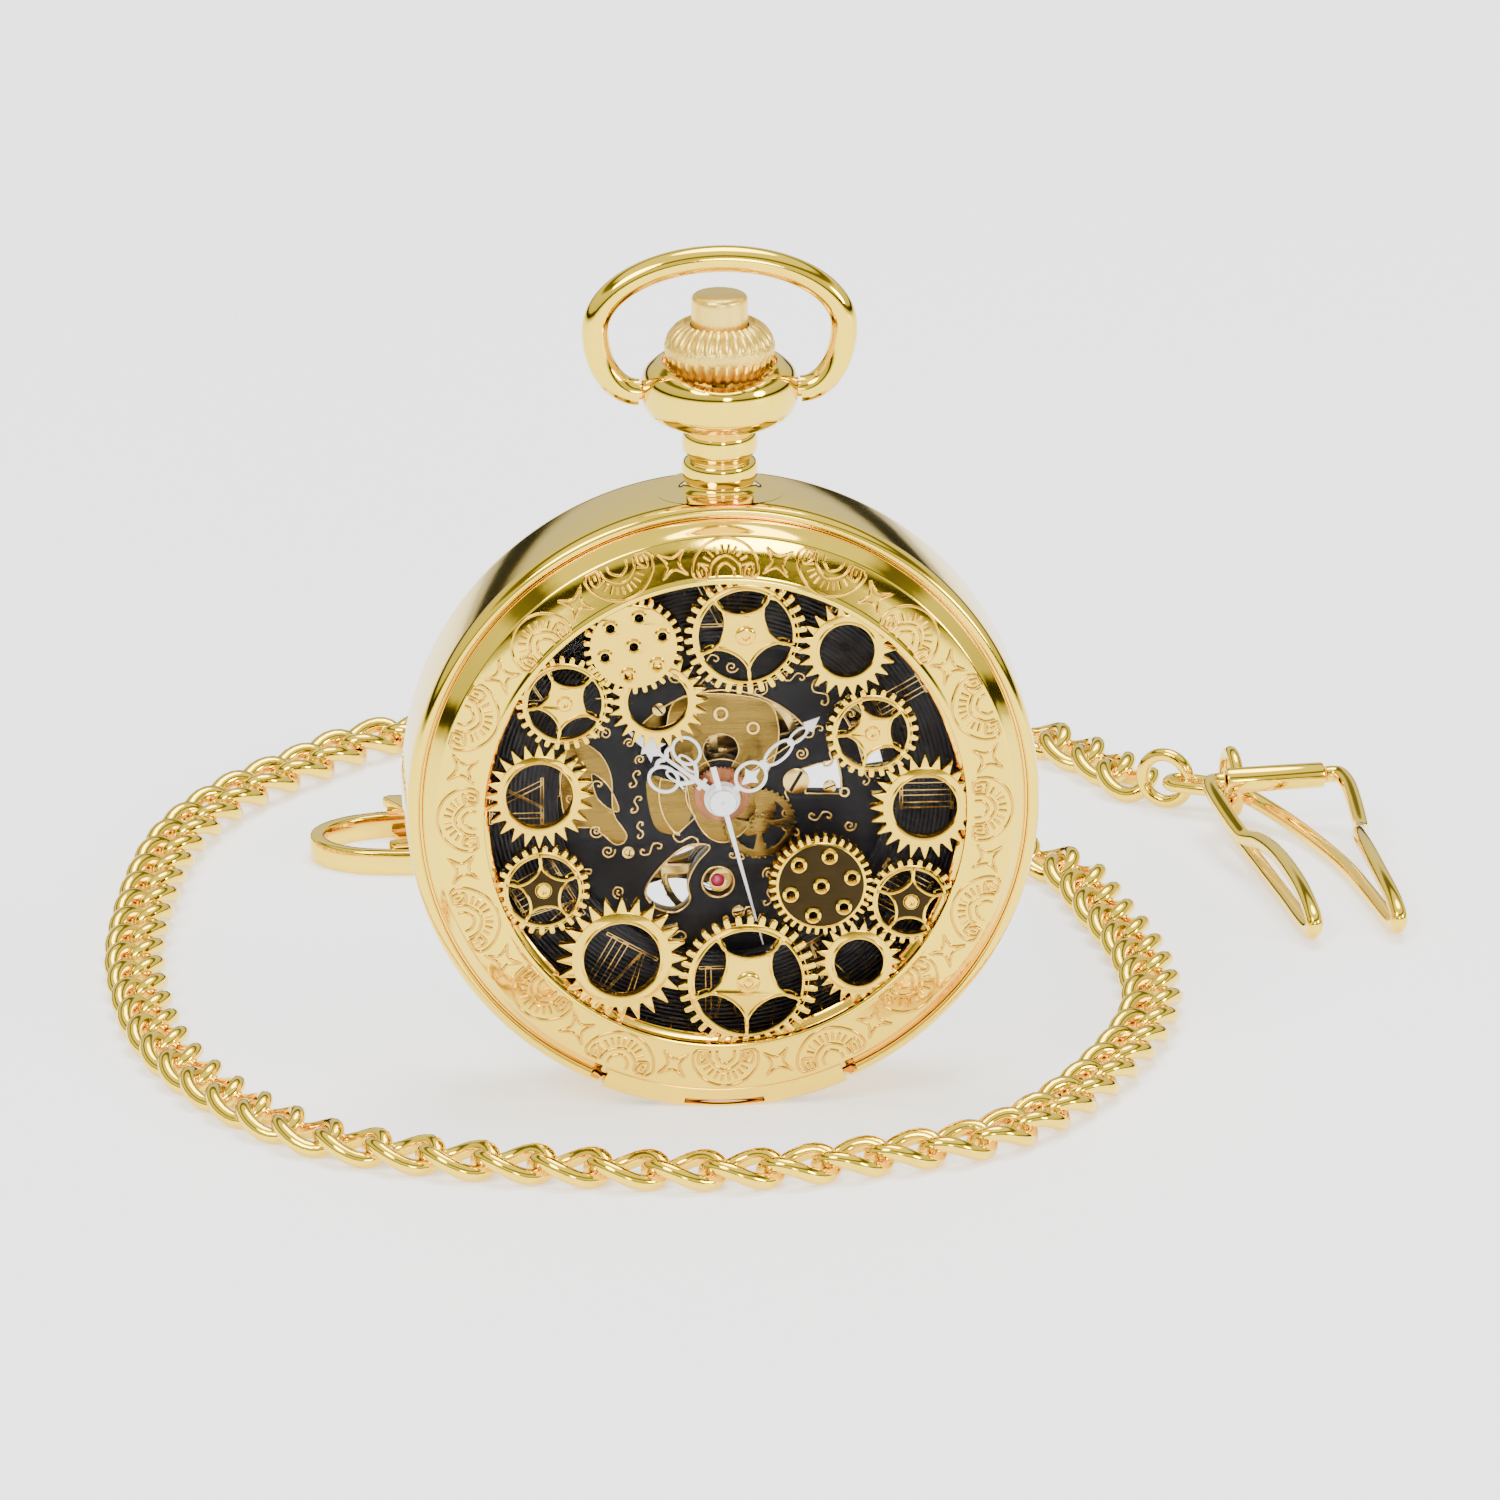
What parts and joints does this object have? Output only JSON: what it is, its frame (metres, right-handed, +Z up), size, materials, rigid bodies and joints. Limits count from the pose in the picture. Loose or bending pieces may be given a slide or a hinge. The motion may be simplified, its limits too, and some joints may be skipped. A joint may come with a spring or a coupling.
{
  "type": "pocket watch",
  "caption": "Open-lid skeleton pocket watch in polished gold colour, with a lid of openwork gears, Roman dial, winding crown, bow, curb chain, spring clasp and belt clip.",
  "frame": {"origin": "middle of the flat land the case stands on, at six o'clock under the hinge, centred across the case's depth", "axes": "+Z up from six o'clock to the crown, -Y out of the dial and lid towards the viewer, +Y out of the back, +X to three o'clock"},
  "size_m": [0.0988, 0.1143, 0.0653],
  "materials": {
    "gold_polished": "mirror polished gold colour plating",
    "gold_satin": "satin gold colour plating",
    "brass_fine": "fine brushed, gilt",
    "copper": "bright copper colour",
    "steel_bright": "bright",
    "black_plate": "gloss black with fine circular grooves",
    "white_enamel": "white lacquer",
    "clear_glass": "clear",
    "ruby": "polished ruby red"
  },
  "bodies": {
    "case": {"mid_case": "gold_polished", "lid_hinge_pin": "brass_fine", "lift_spring": "steel_bright", "crystal_bezel": "gold_polished", "front_crystal": "clear_glass", "rear_bezel": "gold_polished", "rear_crystal": "clear_glass", "pendant": "gold_polished", "dial": "black_plate", "movement_ring": "black_plate", "main_plate": "black_plate", "barrel_bridge": "brass_fine", "train_bridge": "brass_fine", "balance_cock": "brass_fine", "jewel_centre": "ruby", "jewel_third": "ruby", "jewel_great": "ruby", "jewel_escape": "ruby", "jewel_balance": "ruby", "bridge_screw_1": "steel_bright", "bridge_screw_2": "steel_bright", "bridge_screw_3": "steel_bright", "bridge_screw_4": "steel_bright", "chain": "gold_polished", "clasp_body": "gold_polished", "clasp_hook": "gold_polished", "clasp_pin": "gold_polished", "clasp_ring": "gold_polished", "clip_ring_1": "gold_polished", "clip_ring_2": "gold_polished", "clip_link": "gold_polished", "clip_wire": "gold_polished", "clip_sleeve": "gold_polished"},
    "lid": {"lid_frame": "gold_polished", "lid_gearwork": "gold_polished"},
    "bow": {"bow": "gold_polished"},
    "stem": {"winding_stem": "steel_bright"},
    "crown": {"crown": "gold_satin", "clutch_wheel": "steel_bright"},
    "pusher": {"pusher": "gold_satin"},
    "lock_spring": {"lock_spring": "steel_bright"},
    "hour_hand": {"hour_hand": "white_enamel", "hour_wheel": "copper"},
    "minute_hand": {"minute_hand": "white_enamel", "cannon_pinion": "steel_bright"},
    "second_hand": {"second_hand": "white_enamel", "seconds_wheel": "brass_fine"},
    "minute_wheel": {"minute_wheel": "brass_fine"},
    "third_wheel": {"third_wheel": "brass_fine"},
    "great_wheel": {"great_wheel": "brass_fine"},
    "barrel": {"mainspring_barrel": "brass_fine"},
    "escape_wheel": {"escape_wheel": "steel_bright"},
    "fork": {"pallet_fork": "steel_bright"},
    "balance": {"balance_wheel": "brass_fine", "hairspring": "steel_bright"},
    "ratchet": {"ratchet_wheel": "steel_bright"},
    "crown_wheel": {"crown_wheel": "steel_bright"},
    "click": {"click": "steel_bright"},
    "gate": {"clasp_gate": "gold_polished"}
  },
  "joints": [
    {"name": "lid_hinge", "type": "hinge", "parent": "case", "child": "lid", "pos_m": [0, -0.004, 0.00105], "axis": [1, 0, 0], "range_deg": [0, 55]},
    {"name": "bow_hinge", "type": "hinge", "parent": "case", "child": "bow", "pos_m": [0, 0, 0.05421], "axis": [1, 0, 0], "range_deg": [-85, 85]},
    {"name": "crown_pull", "type": "slide", "parent": "case", "child": "stem", "axis": [0, 0, 1], "range_m": [0, 0.0012]},
    {"name": "crown_wind", "type": "hinge", "parent": "stem", "child": "crown", "pos_m": [0, 0, 0.05581], "axis": [0, 0, 1], "continuous": true},
    {"name": "pusher_slide", "type": "slide", "parent": "stem", "child": "pusher", "axis": [0, 0, -1], "range_m": [0, 0.001], "stiffness_N_per_m": 300},
    {"name": "lock_slide", "type": "slide", "parent": "case", "child": "lock_spring", "axis": [0, 0, -1], "range_m": [0, 0.00035]},
    {"name": "hour_turn", "type": "hinge", "parent": "case", "child": "hour_hand", "pos_m": [0, -0.0026, 0.02331], "axis": [0, 1, 0], "continuous": true},
    {"name": "minute_turn", "type": "hinge", "parent": "case", "child": "minute_hand", "pos_m": [0, -0.003, 0.02331], "axis": [0, 1, 0], "continuous": true},
    {"name": "second_turn", "type": "hinge", "parent": "case", "child": "second_hand", "pos_m": [0, -0.0035, 0.02331], "axis": [0, 1, 0], "continuous": true},
    {"name": "minute_wheel_turn", "type": "hinge", "parent": "case", "child": "minute_wheel", "pos_m": [0.00287, -0.0012, 0.0209], "axis": [0, 1, 0], "continuous": true},
    {"name": "third_turn", "type": "hinge", "parent": "case", "child": "third_wheel", "pos_m": [0.00258, 0.0011, 0.02668], "axis": [0, 1, 0], "continuous": true},
    {"name": "great_turn", "type": "hinge", "parent": "case", "child": "great_wheel", "pos_m": [-0.00123, 0.0025, 0.02919], "axis": [0, 1, 0], "continuous": true},
    {"name": "barrel_turn", "type": "hinge", "parent": "case", "child": "barrel", "pos_m": [-0.00675, 0.0015, 0.0272], "axis": [0, 1, 0], "continuous": true},
    {"name": "escape_turn", "type": "hinge", "parent": "case", "child": "escape_wheel", "pos_m": [0.00153, 0.001, 0.02065], "axis": [0, 1, 0], "continuous": true},
    {"name": "fork_swing", "type": "hinge", "parent": "case", "child": "fork", "pos_m": [0.00063, 0.001, 0.01838], "axis": [0, 1, 0], "range_deg": [-5, 5]},
    {"name": "balance_swing", "type": "hinge", "parent": "case", "child": "balance", "pos_m": [-0.0002, 0.0023, 0.01631], "axis": [0, 1, 0], "range_deg": [-135, 135], "stiffness_Nm_per_rad": 0.000001},
    {"name": "ratchet_turn", "type": "hinge", "parent": "case", "child": "ratchet", "pos_m": [-0.00675, 0.004, 0.0272], "axis": [0, 1, 0], "continuous": true},
    {"name": "crown_wheel_turn", "type": "hinge", "parent": "case", "child": "crown_wheel", "pos_m": [-0.00184, 0.004, 0.03348], "axis": [0, 1, 0], "continuous": true},
    {"name": "click_swing", "type": "hinge", "parent": "case", "child": "click", "pos_m": [-0.01246, 0.004, 0.02453], "axis": [0, 1, 0], "range_deg": [-8, 8]},
    {"name": "gate_swing", "type": "hinge", "parent": "case", "child": "gate", "pos_m": [-0.0138, 0.0546, 0.0012], "axis": [0, 0, 1], "range_deg": [-22, 0], "stiffness_Nm_per_rad": 0.003}
  ],
  "couplings": [
    {"joint": "hour_turn", "follows": "minute_turn", "ratio": 0.083333},
    {"joint": "minute_wheel_turn", "follows": "minute_turn", "ratio": -0.33333},
    {"joint": "third_turn", "follows": "second_turn", "ratio": -0.13333},
    {"joint": "great_turn", "follows": "second_turn", "ratio": 0.016667},
    {"joint": "barrel_turn", "follows": "second_turn", "ratio": -0.002667},
    {"joint": "escape_turn", "follows": "second_turn", "ratio": -9},
    {"joint": "crown_wheel_turn", "follows": "crown_wind", "ratio": 0.5},
    {"joint": "ratchet_turn", "follows": "crown_wind", "ratio": -0.39773},
    {"joint": "lock_slide", "follows": "pusher_slide", "ratio": 0.35}
  ]
}
